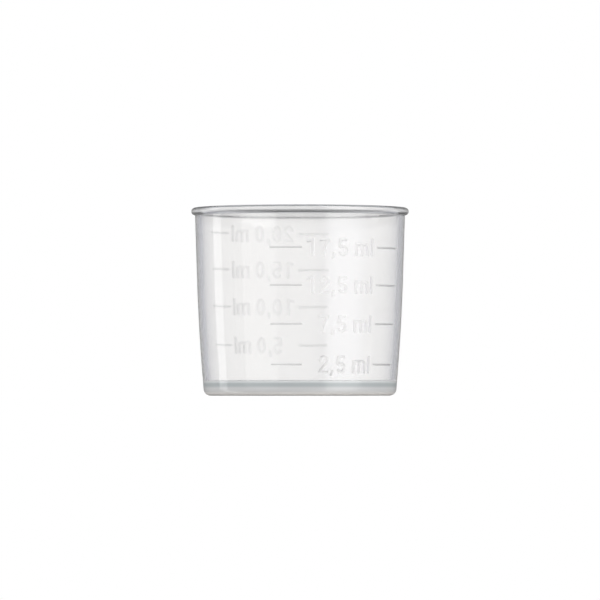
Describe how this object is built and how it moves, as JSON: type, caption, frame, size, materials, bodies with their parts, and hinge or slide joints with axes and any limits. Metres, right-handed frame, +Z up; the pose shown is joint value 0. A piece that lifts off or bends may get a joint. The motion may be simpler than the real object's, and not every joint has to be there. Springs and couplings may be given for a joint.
{
  "type": "measuring cup",
  "caption": "Small tapered cup for measuring liquid doses, with a beaded rim, a foot ring and scales of raised lines.",
  "frame": {"origin": "middle of the base, on the plane that the foot ring stands on", "axes": "+Z up along the cup's axis towards the mouth; -Y faces out of the wall that carries the 2.5, 7.5, 12.5 and 17.5 ml marks"},
  "size_m": [0.036, 0.036, 0.0311],
  "materials": {
    "natural_polypropylene": "translucent, milky, unpigmented plastic with a soft moulded gloss"
  },
  "bodies": {
    "root": {"measuring_cup": "natural_polypropylene"}
  },
  "joints": []
}
